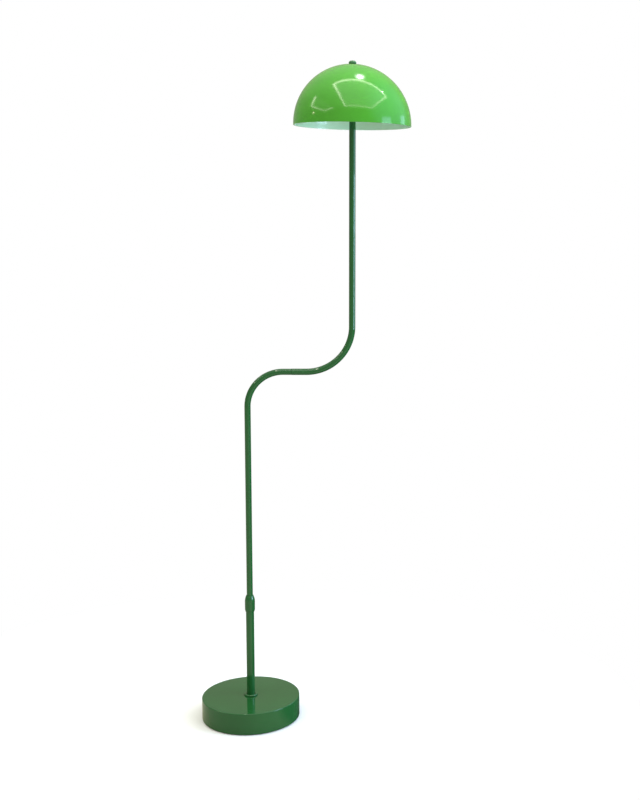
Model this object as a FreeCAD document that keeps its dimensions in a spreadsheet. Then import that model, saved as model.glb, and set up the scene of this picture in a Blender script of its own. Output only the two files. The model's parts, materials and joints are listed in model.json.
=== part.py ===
"""Adjustable arm floor lamp: a weighted drum foot, a telescopic stem with a clamp collar,
an S-shaped two-part arm with a swivel in its level stretch, and a dome shade on a harp.

Millimetres. The origin is the centre of the foot on the floor, +Z is up, and the arm steps
sideways along +X. Each piece is an object of its own and is written to parts/LABEL.step.
"""
import FreeCAD, Part
import math
import os

import Sketcher

V = FreeCAD.Vector
doc = FreeCAD.newDocument("FloorLamp")

# ---------------------------------------------------------------------------------------
# Driving dimensions
# ---------------------------------------------------------------------------------------
SIZES = {
    # clearances
    "fixed_gap": 0.05,            # radial, screwed and pressed pieces of one body
    "running_gap": 0.08,          # radial, a shaft in its bearing
    "free_gap": 0.3,              # pieces that pass each other
    # foot
    "foot_radius": 120,
    "foot_height": 55,
    "cover_wall": 1.5,
    "cover_rounding": 2,
    "felt_thickness": 2.5,
    "felt_radius": 116,
    "plate_thickness": 2,
    "weight_radius": 112,
    "weight_thickness": 20,
    "boss_radius": 17,
    "recess_radius": 14,
    "recess_depth": 17.5,
    "channel_width": 24,
    "channel_depth": 13,
    "plate_screw_circle": 90,
    "plate_screw_radius": 2,
    "plate_screw_length": 9,
    "plate_screw_head_radius": 4,
    "plate_screw_head_height": 1.6,
    "felt_hole_radius": 6,
    "inlet_height": 13,
    "inlet_bore_radius": 3.5,
    "inlet_neck_radius": 5,
    "inlet_flange_radius": 7,
    "inlet_flange_thickness": 1.5,
    "clamp_bar_place": 84,
    "clamp_screw_spacing": 16,
    "clamp_screw_radius": 1.5,
    "block_length": 22,
    "block_width": 18,
    "block_height": 11,
    "block_place": 36,
    "lead_radius": 2.6,
    "lead_bend": 7,
    "ring_radius": 16.5,
    "ring_height": 4.2,
    # stem and its clamp
    "stem_radius": 10,
    "stem_wall": 1.5,
    "stem_top": 290,
    "rod_radius": 5,
    "rod_bore_radius": 3.1,
    "rod_bottom": 15.5,
    "rod_top": 78,
    "washer_radius": 12,
    "washer_thickness": 1.5,
    "nut_half_width": 8.5,
    "nut_thickness": 5,
    "plug_length": 20,
    "bush_spigot": 28,
    "bush_flange": 2,
    "thread_radius": 9.5,
    "thread_length": 12,
    "collet_height": 7,
    "collet_top_radius": 8.3,
    "collet_slit": 1.5,
    "collar_bottom": 272,
    "collar_radius": 12.4,
    "collar_foot_radius": 10.9,
    "collar_foot_height": 5,
    "collar_shoulder": 298,
    "collar_top": 314,
    "collar_top_radius": 8.5,
    "collar_curve": 35,
    # lower arm
    "tube_wall": 1.2,
    "lower_radius": 7.5,
    "lower_bottom": 85,
    "lower_bend": 85,
    "arm_height": 870,
    "swivel_place": 105,
    "guide_bottom": 90,
    "guide_length": 32,
    "clip_thickness": 1.2,
    "clip_radius": 8.1,
    # swivel
    "swivel_washer": 0.5,
    "swivel_play": 0.1,
    "pivot_radius": 4,
    "pivot_bore_radius": 2.9,
    "pivot_reach": 18,
    "swivel_plug_length": 14,
    "lead_thin_radius": 2.5,
    "pivot_nut_radius": 6,
    "pivot_nut_thickness": 4,
    "pivot_washer_thickness": 1.2,
    "stop_place_radius": 5.4,
    "stop_radius": 0.7,
    "stop_reach": 2.6,
    "stop_travel": 90,
    "stop_hub_radius": 4.6,
    # upper arm
    "upper_radius": 7.75,
    "upper_bend": 110,
    "lamp_place": 251,
    "upper_top": 1468,
    # lampholder and bulb
    "nipple_length": 22,
    "saddle_thickness": 2,
    "saddle_length": 62,
    "saddle_width": 14,
    "holder_radius": 19.5,
    "holder_wall": 2,
    "holder_cap_height": 14,
    "holder_shell_height": 35,
    "insert_thickness": 8,
    "sleeve_radius": 14.9,
    "sleeve_wall": 0.9,
    "sleeve_height": 25,
    "bulb_cap_radius": 13.2,
    "bulb_cap_height": 25,
    "bulb_tip_radius": 4.8,
    "bulb_tip_height": 1.5,
    "bulb_neck_radius": 12.2,
    "bulb_radius": 22.5,
    "bulb_wall": 1,
    "bulb_centre_height": 78,
    # harp, shade and knob
    "harp_half_width": 27,
    "harp_wire_radius": 1.75,
    "harp_corner": 20,
    "harp_height": 115.5,
    "stud_radius": 3,
    "stud_collar_radius": 5,
    "shade_radius": 138,
    "shade_layer": 1.5,
    "shade_skirt": 3,
    "shade_rim": 1451,
    "shade_hole_radius": 3.3,
    "seat_radius": 12,
    "seat_thickness": 1.6,
    "seat_drop": 0.8,
    "knob_washer_radius": 8.5,
    "knob_washer_thickness": 1,
    "knob_radius": 9,
    "knob_height": 7.4,
    "knob_edge": 3.5,
}

sheet = doc.addObject("Spreadsheet::Sheet", "Sizes")
for row, (name, number) in enumerate(SIZES.items(), start=1):
    sheet.set(f"A{row}", name.replace("_", " "))
    sheet.set(f"B{row}", str(number))
    sheet.setAlias(f"B{row}", name)
doc.recompute()


class Size:
    """A cell of the sheet or arithmetic on cells: its value, and the expression that binds it."""

    def __init__(self, value, text):
        self.value = float(value)
        self.text = text

    def __add__(self, other):
        other = as_size(other)
        return Size(self.value + other.value, f"({self.text} + {other.text})")

    def __sub__(self, other):
        other = as_size(other)
        return Size(self.value - other.value, f"({self.text} - {other.text})")

    def __mul__(self, other):
        other = as_size(other)
        return Size(self.value * other.value, f"({self.text} * {other.text})")

    def __truediv__(self, other):
        other = as_size(other)
        return Size(self.value / other.value, f"({self.text} / {other.text})")

    def __neg__(self):
        return Size(-self.value, f"(0 - {self.text})")

    def root(self):
        return Size(math.sqrt(self.value), f"sqrt({self.text})")


def as_size(number):
    return number if isinstance(number, Size) else Size(number, f"{number:g}")


def cell(name):
    return Size(sheet.get(name), f"Sizes.{name}")


# ---------------------------------------------------------------------------------------
# Building blocks
# ---------------------------------------------------------------------------------------
pieces = []
ALONG_Z = FreeCAD.Rotation()
ALONG_X = FreeCAD.Rotation(V(0, 1, 0), 90)
ALONG_Y = FreeCAD.Rotation(V(1, 0, 0), -90)


def new_piece(label, place=(0, 0, 0), turn=ALONG_Z):
    """An empty body; its place is bound to the sheet."""
    body = doc.addObject("PartDesign::Body", label)
    body.Label = label
    body.Placement = FreeCAD.Placement(V(), turn)
    for axis, distance in zip("xyz", place):
        body.setExpression(f"Placement.Base.{axis}", as_size(distance).text)
    pieces.append(body)
    return body


def new_sketch(body, name, plane, lift=0):
    """A sketch on one of the body's own origin planes, lifted along that plane's normal."""
    sketch = body.newObject("Sketcher::SketchObject", f"{body.Name}_{name}")
    origin_plane = [item for item in body.Origin.OriginFeatures if item.Role == plane][0]
    sketch.AttachmentSupport = [(origin_plane, "")]
    sketch.MapMode = "FlatFace"
    sketch.setExpression("AttachmentOffset.Base.z", as_size(lift).text)
    return sketch


def pin_point(sketch, edge, end, point):
    """Hold one end of an edge at two bound distances from the sketch's origin."""
    for kind, distance in zip(("DistanceX", "DistanceY"), point):
        index = sketch.addConstraint(Sketcher.Constraint(kind, -1, 1, edge, end, distance.value))
        sketch.setExpression(f"Constraints[{index}]", distance.text)


def arc_between(start, end, radius, turn):
    """The short arc from start to end that turns left (+1) or right (-1)."""
    middle = (start + end) * 0.5
    along = end - start
    height = math.sqrt(max(radius ** 2 - (along.Length / 2) ** 2, 0))
    normal = V(-along.y, along.x, 0).normalize() * (turn * height)
    circle = Part.Circle(middle + normal, V(0, 0, 1), radius)
    first, last = (start, end) if turn > 0 else (end, start)
    return Part.ArcOfCircle(circle, circle.parameter(first), circle.parameter(last))


def draw(sketch, points, closed=True):
    """Lines and arcs through the points. A point is (x, y), or (x, y, radius, turn) where an
    arc of that radius leads to it."""
    corners = [tuple(as_size(number) for number in point[:2]) for point in points]
    spots = [V(x.value, y.value, 0) for x, y in corners]
    count = len(points) if closed else len(points) - 1
    ends = []
    for number in range(count):
        following = (number + 1) % len(points)
        bend = points[following][2:]
        if bend:
            radius, turn = as_size(bend[0]), bend[1]
            curve = arc_between(spots[number], spots[following], radius.value, turn)
            edge = sketch.addGeometry(curve)
            index = sketch.addConstraint(Sketcher.Constraint("Radius", edge, radius.value))
            sketch.setExpression(f"Constraints[{index}]", radius.text)
            ends.append((edge, 1, 2) if turn > 0 else (edge, 2, 1))
        else:
            edge = sketch.addGeometry(Part.LineSegment(spots[number], spots[following]))
            ends.append((edge, 1, 2))
        pin_point(sketch, edge, ends[-1][1], corners[number])
    for number in range(count):
        if number + 1 < count or closed:
            this, after = ends[number], ends[(number + 1) % count]
            sketch.addConstraint(Sketcher.Constraint("Coincident", this[0], this[2], after[0], after[1]))
    if not closed:
        pin_point(sketch, ends[-1][0], ends[-1][2], corners[-1])


def draw_circle(sketch, radius, centre=(0, 0)):
    radius = as_size(radius)
    x, y = (as_size(number) for number in centre)
    edge = sketch.addGeometry(Part.Circle(V(x.value, y.value, 0), V(0, 0, 1), radius.value))
    index = sketch.addConstraint(Sketcher.Constraint("Radius", edge, radius.value))
    sketch.setExpression(f"Constraints[{index}]", radius.text)
    pin_point(sketch, edge, 3, (x, y))


def draw_rectangle(sketch, left, bottom, right, top):
    draw(sketch, [(left, bottom), (right, bottom), (right, top), (left, top)])


def turned(label, outline, place=(0, 0, 0), turn=ALONG_Z):
    """A body turned on a lathe: the outline's points are (radius, height) about its own axis."""
    body = new_piece(label, place, turn)
    sketch = new_sketch(body, "outline", "XZ_Plane")
    draw(sketch, outline)
    revolution = body.newObject("PartDesign::Revolution", f"{label}_turning")
    revolution.Profile = sketch
    revolution.ReferenceAxis = (sketch, ["V_Axis"])
    revolution.Angle = 360
    return body


def sleeve(label, inner, outer, bottom, top, place=(0, 0, 0), turn=ALONG_Z):
    """A plain ring or bush."""
    return turned(label, [(inner, bottom), (outer, bottom), (outer, top), (inner, top)], place, turn)


def pad(body, sketch, length, reverse=False):
    feature = body.newObject("PartDesign::Pad", f"{sketch.Name}_pad")
    feature.Profile = sketch
    feature.setExpression("Length", as_size(length).text)
    feature.Reversed = reverse
    return feature


def cut(body, sketch, length, reverse=False):
    """A pocket; it stops the build if it takes nothing away."""
    doc.recompute()
    before = body.Shape.Volume
    feature = body.newObject("PartDesign::Pocket", f"{sketch.Name}_cut")
    feature.Profile = sketch
    feature.setExpression("Length", as_size(length).text)
    feature.Reversed = reverse
    doc.recompute()
    if body.Shape.Volume > before - 0.01:
        raise RuntimeError(f"{body.Label}: {sketch.Name} cuts nothing")
    return feature


def around(body, feature, sketch, count):
    """Repeat a feature round the body's own axis."""
    pattern = body.newObject("PartDesign::PolarPattern", f"{feature.Name}_around")
    pattern.Originals = [feature]
    pattern.Axis = (sketch, ["N_Axis"])
    pattern.Angle = 360
    pattern.Occurrences = count
    body.Tip = pattern
    return pattern


def bent_tube(label, route, plane, radii, place):
    """A tube or lead swept along a flat route; radii are (outer,) or (outer, inner)."""
    body = new_piece(label, place)
    profile = new_sketch(body, "section", plane)
    for radius in radii:
        draw_circle(profile, radius)
    spine = new_sketch(body, "route", "YZ_Plane" if label == "base_lead" else "XZ_Plane")
    draw(spine, route, closed=False)
    pipe = body.newObject("PartDesign::AdditivePipe", f"{label}_sweep")
    pipe.Profile = profile
    pipe.Spine = (spine, [f"Edge{number}" for number in range(1, len(route))])
    return body


# Sizes that several pieces share
fixed = cell("fixed_gap")
running = cell("running_gap")
free = cell("free_gap")
plate_bottom = cell("felt_thickness")
plate_top = plate_bottom + cell("plate_thickness")
foot_top = cell("foot_height")
cover_inside = cell("foot_radius") - cell("cover_wall")
cover_ceiling = foot_top - cell("cover_wall")
recess_top = plate_top + cell("recess_depth")
stem_inside = cell("stem_radius") - cell("stem_wall")
lower_inside = cell("lower_radius") - cell("tube_wall")
upper_inside = cell("upper_radius") - cell("tube_wall")
swivel = (cell("swivel_place"), 0, cell("arm_height"))
upper_start = cell("swivel_washer") + cell("swivel_play")
lamp_axis = (cell("lamp_place"), 0, cell("upper_top"))


# ---------------------------------------------------------------------------------------
# Foot
# ---------------------------------------------------------------------------------------
def ring_of_holes(body, name, radius, circle, depth, plane_lift, count=3):
    """Holes cut upwards from a level plane, spread evenly; the first lies towards -Y."""
    sketch = new_sketch(body, name, "XY_Plane", plane_lift)
    draw_circle(sketch, radius, (0, -circle))
    hole = cut(body, sketch, depth, reverse=True)
    return around(body, hole, sketch, count)


def base_felt():
    body = sleeve("base_felt", 0, cell("felt_radius"), 0, plate_bottom)
    ring_of_holes(body, "holes", cell("felt_hole_radius"), cell("plate_screw_circle"), plate_bottom, 0)


def base_plate():
    body = sleeve("base_plate", 0, cover_inside - free, plate_bottom, plate_top)
    hole_radius = cell("plate_screw_radius") + fixed
    ring_of_holes(body, "holes", hole_radius, cell("plate_screw_circle"), plate_top, 0)


def plate_screws():
    """Three pan-head screws that hold the plate to the iron weight."""
    body = new_piece("plate_screws")
    circle = cell("plate_screw_circle")
    head_bottom = plate_bottom - cell("plate_screw_head_height")
    sketch = new_sketch(body, "heads", "XY_Plane", head_bottom)
    draw_circle(sketch, cell("plate_screw_head_radius"), (0, -circle))
    head = pad(body, sketch, cell("plate_screw_head_height"))
    shank_sketch = new_sketch(body, "shanks", "XY_Plane", head_bottom)
    draw_circle(shank_sketch, cell("plate_screw_radius"), (0, -circle))
    shank = pad(body, shank_sketch, cell("plate_screw_head_height") + cell("plate_screw_length"))
    doc.recompute()
    pattern = around(body, head, sketch, 3)
    pattern.Originals = [head, shank]


def base_weight():
    """Cast iron disc with a boss under the cover, a recess for the nut and a cable channel."""
    bore = cell("rod_radius") + free
    disc_top = plate_top + cell("weight_thickness")
    body = turned("base_weight", [
        (cell("recess_radius"), plate_top), (cell("weight_radius"), plate_top),
        (cell("weight_radius"), disc_top), (cell("boss_radius"), disc_top),
        (cell("boss_radius"), cover_ceiling), (bore, cover_ceiling),
        (bore, recess_top), (cell("recess_radius"), recess_top)])
    half = cell("channel_width") / 2
    channel = new_sketch(body, "channel", "XY_Plane", plate_top)
    draw_rectangle(channel, -half, 0, half, cell("weight_radius") + 1)
    cut(body, channel, cell("channel_depth"), reverse=True)
    taps = new_sketch(body, "taps", "XY_Plane", plate_top)
    for side in (-1, 1):
        spot = cell("clamp_screw_spacing") / 2 * side
        draw_circle(taps, cell("clamp_screw_radius") + fixed, (spot, cell("clamp_bar_place")))
    cut(body, taps, cell("weight_thickness") - 2, reverse=True)
    tap_radius = cell("plate_screw_radius") + fixed
    ring_of_holes(body, "plate_taps", tap_radius, cell("plate_screw_circle"),
                  cell("plate_screw_length"), plate_top)


def base_cover():
    """Spun steel drum, open below, with a hole for the stem rod and one for the cable."""
    outer = cell("foot_radius")
    rounding = cell("cover_rounding")
    inner_rounding = rounding - cell("cover_wall")
    bore = cell("rod_radius") + free
    body = turned("base_cover", [
        (outer, plate_bottom), (outer, foot_top - rounding),
        (outer - rounding, foot_top, rounding, 1), (bore, foot_top), (bore, cover_ceiling),
        (cover_inside - inner_rounding, cover_ceiling),
        (cover_inside, cover_ceiling - inner_rounding, inner_rounding, -1),
        (cover_inside, plate_bottom)])
    inlet = new_sketch(body, "inlet", "XZ_Plane")
    draw_circle(inlet, cell("inlet_neck_radius") + fixed, (0, cell("inlet_height")))
    cut(body, inlet, outer + 1)


def cable_grommet():
    """Flanged ring in the rear wall that lines the cable inlet."""
    neck, flange = cell("inlet_neck_radius"), cell("inlet_flange_radius")
    bore = cell("inlet_bore_radius")
    inner_face = cover_inside - free
    outer_face = cell("foot_radius") + fixed
    thickness = cell("inlet_flange_thickness")
    body = turned("cable_grommet", [
        (bore, inner_face - thickness), (flange, inner_face - thickness), (flange, inner_face),
        (neck, inner_face), (neck, outer_face), (flange, outer_face),
        (flange - 0.6, outer_face + thickness), (bore, outer_face + thickness)],
        place=(0, 0, cell("inlet_height")), turn=ALONG_Y)
    return body


def terminal_block():
    """Two-way screw terminal in the channel of the weight."""
    body = new_piece("terminal_block", (0, cell("block_place"), plate_top + free))
    half = cell("block_width") / 2
    face = new_sketch(body, "face", "XZ_Plane")
    draw_rectangle(face, -half, 0, half, cell("block_height"))
    for side in (-1, 1):
        draw_circle(face, 1.8, (half / 2 * side, 3.8))
    pad(body, face, cell("block_length"), reverse=True)
    screws = new_sketch(body, "screw_wells", "XY_Plane")
    for side in (-1, 1):
        for spot in (1, 3):
            draw_circle(screws, 1.5, (half / 2 * side, cell("block_length") / 4 * spot))
    cut(body, screws, 2, reverse=True)


def cord_clamp():
    """Nylon bar that holds the mains lead up against the channel's roof."""
    body = new_piece("cord_clamp", (0, cell("clamp_bar_place"), plate_top + 2.5))
    half = cell("channel_width") / 2 - 1
    bar = new_sketch(body, "bar", "XY_Plane")
    draw_rectangle(bar, -half, -4, half, 4)
    for side in (-1, 1):
        spot = cell("clamp_screw_spacing") / 2 * side
        draw_circle(bar, cell("clamp_screw_radius") + fixed, (spot, 0))
    pad(body, bar, 4)


def clamp_screws():
    body = new_piece("clamp_screws", (0, cell("clamp_bar_place"), plate_top + 2.5))
    heads = new_sketch(body, "heads", "XY_Plane")
    shanks = new_sketch(body, "shanks", "XY_Plane", -1.8)
    for side in (-1, 1):
        spot = cell("clamp_screw_spacing") / 2 * side
        draw_circle(heads, 2.8, (spot, 0))
        draw_circle(shanks, cell("clamp_screw_radius"), (spot, 0))
    pad(body, heads, 1.8, reverse=True)
    pad(body, shanks, cell("weight_thickness") - 3)


def foot_ring():
    """Trim ring round the foot of the stem, with a rounded crown."""
    inner = cell("stem_radius") + fixed
    outer, height = cell("ring_radius"), cell("ring_height")
    turned("foot_ring", [
        (inner, foot_top), (outer - 0.8, foot_top), (outer, foot_top + 0.8, 0.8, 1),
        (outer, foot_top + height - 3), (outer - 3, foot_top + height, 3, 1),
        (inner + 1, foot_top + height), (inner, foot_top + height - 1)])


# ---------------------------------------------------------------------------------------
# Stem
# ---------------------------------------------------------------------------------------
def stem_rod():
    sleeve("stem_rod", cell("rod_bore_radius"), cell("rod_radius"), cell("rod_bottom"), cell("rod_top"))


def stem_washer():
    sleeve("stem_washer", cell("rod_radius") + fixed, cell("washer_radius"),
           recess_top - cell("washer_thickness"), recess_top)


def stem_nut():
    """Hexagon nut that pulls stem, cover and weight together."""
    body = new_piece("stem_nut")
    bottom = recess_top - cell("washer_thickness") - cell("nut_thickness")
    sketch = new_sketch(body, "hexagon", "XY_Plane", bottom)
    flat = cell("nut_half_width")
    corner = flat * 2 / as_size(3).root()
    half = corner / 2
    draw(sketch, [(corner, 0), (half, flat), (-half, flat), (-corner, 0), (-half, -flat), (half, -flat)])
    draw_circle(sketch, cell("rod_radius") + fixed)
    pad(body, sketch, cell("nut_thickness"))


def stem_plug():
    sleeve("stem_plug", cell("rod_radius") + fixed, stem_inside - fixed, foot_top,
           foot_top + cell("plug_length"))


def stem_tube():
    sleeve("stem_tube", stem_inside, cell("stem_radius"), foot_top, cell("stem_top"))


def clamp_bush():
    """Brass bush in the mouth of the stem: a spigot below, a flange, and the collar's thread."""
    bore = cell("lower_radius") + running
    top = cell("stem_top")
    flange_top = top + cell("bush_flange")
    thread_top = flange_top + cell("thread_length")
    spigot = stem_inside - fixed
    thread = cell("thread_radius")
    turned("clamp_bush", [
        (bore, top - cell("bush_spigot")), (spigot, top - cell("bush_spigot")), (spigot, top),
        (cell("stem_radius"), top), (cell("stem_radius"), flange_top), (thread, flange_top),
        (thread, thread_top), (bore, thread_top)])


def collet():
    """Split nylon ring that the collar squeezes onto the arm."""
    bottom = cell("stem_top") + cell("bush_flange") + cell("thread_length")
    top = bottom + cell("collet_height")
    bore = cell("lower_radius") + running
    wide = cell("thread_radius") - 0.2
    body = turned("collet", [
        (bore, bottom), (wide, bottom), (wide, bottom + 1.5),
        (cell("collet_top_radius"), top), (bore, top)])
    slit = new_sketch(body, "slit", "XY_Plane", bottom)
    half = cell("collet_slit") / 2
    draw_rectangle(slit, -half, 0, half, wide + 1)
    cut(body, slit, cell("collet_height"), reverse=True)


def collar_nut():
    """Clamp collar: flared at its foot, straight, then a rounded taper that closes on the arm."""
    outer = cell("collar_radius")
    bottom, top = cell("collar_bottom"), cell("collar_top")
    flange_top = cell("stem_top") + cell("bush_flange") + free
    thread = cell("thread_radius") + running
    thread_top = cell("stem_top") + cell("bush_flange") + cell("thread_length") + 1.5
    cone_top = thread_top + cell("collet_height")
    turned("collar_nut", [
        (cell("stem_radius") + free, bottom), (cell("collar_foot_radius"), bottom),
        (outer, bottom + cell("collar_foot_height")),
        (outer, cell("collar_shoulder")),
        (cell("collar_top_radius"), top, cell("collar_curve"), 1),
        (cell("lower_radius") + free, top), (cell("lower_radius") + free, cone_top),
        (cell("collet_top_radius") + free, cone_top), (thread, thread_top),
        (thread, flange_top), (cell("stem_radius") + free, flange_top)])


# ---------------------------------------------------------------------------------------
# Lower arm and its guide
# ---------------------------------------------------------------------------------------
def guide_bush():
    bottom = cell("guide_bottom")
    sleeve("guide_bush", cell("lower_radius") + running, stem_inside - running, bottom,
           bottom + cell("guide_length"))


def lower_arm_tube():
    """Straight up inside the stem, one wide bend, then level to the swivel."""
    bend = cell("lower_bend")
    rise = cell("arm_height") - cell("lower_bottom")
    route = [(0, 0), (0, rise - bend), (bend, rise, bend, -1), (cell("swivel_place"), rise)]
    bent_tube("lower_arm_tube", route, "XY_Plane", (cell("lower_radius"), lower_inside),
              (0, 0, cell("lower_bottom")))


def retaining_clips():
    """Two spring clips on the end of the arm, one each side of the guide bush."""
    body = new_piece("retaining_clips")
    lower = cell("guide_bottom") - free - cell("clip_thickness")
    upper = cell("guide_bottom") + cell("guide_length") + free
    for name, bottom in (("lower", lower), ("upper", upper)):
        sketch = new_sketch(body, name, "XY_Plane", bottom)
        draw_circle(sketch, cell("clip_radius"))
        draw_circle(sketch, cell("lower_radius") + fixed)
        pad(body, sketch, cell("clip_thickness"))


def lower_plug():
    """Steel plug brazed in the end of the lower arm; it carries the pivot and the stop pin."""
    bore = cell("pivot_radius") + fixed
    body = sleeve("lower_plug", bore, lower_inside - fixed, -cell("swivel_plug_length"), 0,
                  swivel, ALONG_X)
    hole = new_sketch(body, "stop_hole", "XY_Plane")
    draw_circle(hole, cell("stop_radius") + fixed, (-cell("stop_place_radius"), 0))
    cut(body, hole, 5)


def pivot_nipple():
    """Hollow threaded pivot; the lead passes through it."""
    sleeve("pivot_nipple", cell("pivot_bore_radius"), cell("pivot_radius"),
           -cell("swivel_plug_length"), cell("pivot_reach") + cell("pivot_nut_thickness") + 2,
           swivel, ALONG_X)


def swivel_washer():
    """Thin nylon washer between the two arm tubes."""
    sleeve("swivel_washer", lower_inside, cell("lower_radius"), 0, cell("swivel_washer"),
           swivel, ALONG_X)


def stop_pin():
    body = new_piece("stop_pin", swivel, ALONG_X)
    sketch = new_sketch(body, "section", "XY_Plane", -5)
    draw_circle(sketch, cell("stop_radius"), (-cell("stop_place_radius"), 0))
    pad(body, sketch, cell("stop_reach") + upper_start + 5)


def upper_plug():
    """Bearing plug of the upper arm; half its end face is cut away for the stop pin."""
    bore = cell("pivot_radius") + running
    outer = upper_inside - fixed
    far = cell("pivot_reach") - cell("pivot_washer_thickness") - free
    body = sleeve("upper_plug", bore, outer, upper_start, far, swivel, ALONG_X)
    sketch = new_sketch(body, "stop_step", "XZ_Plane")
    hub = cell("stop_hub_radius")
    draw_rectangle(sketch, -outer - 1, upper_start - 1, -hub, upper_start + cell("stop_reach") + free)
    groove = body.newObject("PartDesign::Groove", "upper_plug_stop_groove")
    groove.Profile = sketch
    groove.ReferenceAxis = (sketch, ["V_Axis"])
    pin_angle = 2 * math.degrees(math.asin(SIZES["stop_radius"] / SIZES["stop_place_radius"]))
    groove.setExpression("Angle", (cell("stop_travel") * 2 + round(pin_angle, 1) + 4).text)
    groove.Midplane = True


def pivot_washer():
    reach = cell("pivot_reach")
    sleeve("pivot_washer", cell("pivot_radius") + fixed, cell("pivot_nut_radius"),
           reach - cell("pivot_washer_thickness"), reach, swivel, ALONG_X)


def pivot_nut():
    body = new_piece("pivot_nut", swivel, ALONG_X)
    corner = cell("pivot_nut_radius")
    flat = corner * as_size(3).root() / 2
    half = corner / 2
    sketch = new_sketch(body, "hexagon", "XY_Plane", cell("pivot_reach"))
    draw(sketch, [(corner, 0), (half, flat), (-half, flat), (-corner, 0), (-half, -flat), (half, -flat)])
    draw_circle(sketch, cell("pivot_radius") + fixed)
    pad(body, sketch, cell("pivot_nut_thickness"))


# ---------------------------------------------------------------------------------------
# Leads
# ---------------------------------------------------------------------------------------
def base_lead():
    """From the terminal block along the channel and up the hollow rod."""
    level = plate_top + free + 3.8
    bend = cell("lead_bend")
    start = cell("block_place") - free
    route = [(start, level), (bend, level), (0, level + bend, bend, -1), (0, cell("lower_bottom") - 2)]
    body = new_piece("base_lead")
    section = new_sketch(body, "section", "XZ_Plane", -start)
    draw_circle(section, cell("lead_radius"), (0, level))
    spine = new_sketch(body, "route", "YZ_Plane")
    draw(spine, route, closed=False)
    pipe = body.newObject("PartDesign::AdditivePipe", "base_lead_sweep")
    pipe.Profile = section
    pipe.Spine = (spine, ["Edge1", "Edge2", "Edge3"])


def lower_lead():
    bend = cell("lower_bend")
    rise = cell("arm_height") - cell("lower_bottom")
    route = [(0, 0), (0, rise - bend), (bend, rise, bend, -1), (cell("swivel_place"), rise)]
    bent_tube("lower_lead", route, "XY_Plane", (cell("lead_thin_radius"),),
              (0, 0, cell("lower_bottom")))


def upper_lead():
    bend = cell("upper_bend")
    start = cell("swivel_place") + free
    run = cell("lamp_place") - start
    rise = cell("upper_top") - cell("arm_height") + cell("saddle_thickness") + 4
    route = [(0, 0), (run - bend, 0), (run, bend, bend, 1), (run, rise)]
    bent_tube("upper_lead", route, "YZ_Plane", (cell("lead_thin_radius"),),
              (start, 0, cell("arm_height")))


# ---------------------------------------------------------------------------------------
# Upper arm
# ---------------------------------------------------------------------------------------
def upper_arm_tube():
    """Level from the swivel, one wide bend, then straight up into the shade."""
    bend = cell("upper_bend")
    start = cell("swivel_place") + upper_start
    run = cell("lamp_place") - start
    rise = cell("upper_top") - cell("arm_height")
    route = [(0, 0), (run - bend, 0), (run, bend, bend, 1), (run, rise)]
    bent_tube("upper_arm_tube", route, "YZ_Plane", (cell("upper_radius"), upper_inside),
              (start, 0, cell("arm_height")))


def top_plug():
    sleeve("top_plug", cell("rod_radius") + fixed, upper_inside - fixed, -cell("plug_length"), 0, lamp_axis)


def holder_nipple():
    length = cell("nipple_length")
    sleeve("holder_nipple", cell("rod_bore_radius"), cell("rod_radius"), -length / 2 - 3, length / 2, lamp_axis)


def harp_saddle():
    """Flat strip clamped under the lampholder; the harp's feet are riveted in its ends."""
    body = new_piece("harp_saddle", lamp_axis)
    half_length, half_width = cell("saddle_length") / 2, cell("saddle_width") / 2
    round_end = cell("saddle_width") / 4
    sketch = new_sketch(body, "strip", "XY_Plane")
    draw(sketch, [
        (half_length - round_end, -half_width), (half_length, -half_width + round_end, round_end, 1),
        (half_length, half_width - round_end), (half_length - round_end, half_width, round_end, 1),
        (round_end - half_length, half_width), (-half_length, half_width - round_end, round_end, 1),
        (-half_length, round_end - half_width), (round_end - half_length, -half_width, round_end, 1)])
    draw_circle(sketch, cell("rod_radius") + fixed)
    for side in (-1, 1):
        draw_circle(sketch, cell("harp_wire_radius") + fixed, (cell("harp_half_width") * side, 0))
    pad(body, sketch, cell("saddle_thickness"))


def lampholder_cap():
    """Threaded cup of the lampholder, screwed onto the nipple."""
    outer, wall = cell("holder_radius"), cell("holder_wall")
    bottom = cell("saddle_thickness")
    top = bottom + cell("holder_cap_height")
    turned("lampholder_cap", [
        (cell("rod_radius") + fixed, bottom), (outer - 4, bottom), (outer, bottom + 4, 4, 1),
        (outer, top), (outer - wall, top), (outer - wall, bottom + 5),
        (outer - wall - 3, bottom + 3), (cell("rod_radius") + fixed, bottom + 3)], lamp_axis)


def lampholder_shell():
    outer = cell("holder_radius")
    bottom = cell("saddle_thickness") + cell("holder_cap_height")
    top = bottom + cell("holder_shell_height")
    turned("lampholder_shell", [
        (outer - cell("holder_wall"), bottom), (outer, bottom), (outer, top - 1),
        (outer - 1, top), (outer - cell("holder_wall"), top)], lamp_axis)


def contact_insert():
    """Ceramic disc that carries the contacts."""
    bottom = cell("saddle_thickness") + cell("holder_cap_height")
    body = sleeve("contact_insert", 0, cell("holder_radius") - cell("holder_wall") - free, bottom,
                  bottom + cell("insert_thickness"), lamp_axis)
    return body


def screw_sleeve():
    """Brass sleeve with the round thread of the lampholder."""
    outer = cell("sleeve_radius")
    bottom = cell("saddle_thickness") + cell("holder_cap_height") + cell("insert_thickness")
    sleeve("screw_sleeve", outer - cell("sleeve_wall"), outer, bottom, bottom + cell("sleeve_height"), lamp_axis)


def centre_contact():
    bottom = cell("saddle_thickness") + cell("holder_cap_height") + cell("insert_thickness")
    sleeve("centre_contact", 0, cell("bulb_tip_radius") - 1, bottom, bottom + 1, lamp_axis)


def bulb_seat():
    """Height of the bulb's contact tip above the end of the arm tube."""
    return (cell("saddle_thickness") + cell("holder_cap_height") + cell("insert_thickness") + 1)


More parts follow.
